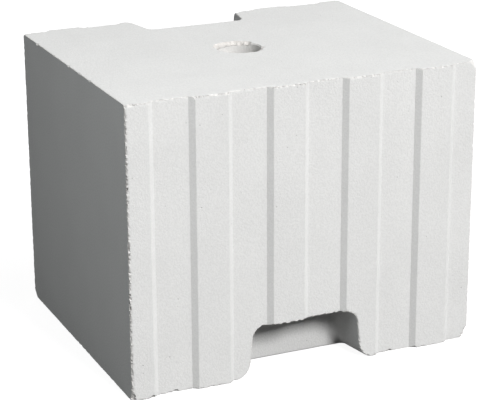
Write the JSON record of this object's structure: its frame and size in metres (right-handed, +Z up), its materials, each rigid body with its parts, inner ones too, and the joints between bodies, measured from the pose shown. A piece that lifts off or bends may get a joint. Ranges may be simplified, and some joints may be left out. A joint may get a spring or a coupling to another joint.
{
  "type": "calcium silicate block",
  "caption": "Large pressed wall block with tongued and grooved ends, a finger pocket at each end and a round hole down the middle.",
  "frame": {"origin": "middle of the lower bed face", "axes": "+X across the wall, +Y along the wall from the end with the low grip pocket to the end with the high one, +Z up"},
  "size_m": [0.3, 0.248, 0.238],
  "materials": {
    "calcium_silicate": "matte, finely sandy pressed surface with crumbly edges"
  },
  "bodies": {
    "root": {"block": "calcium_silicate"}
  },
  "joints": []
}
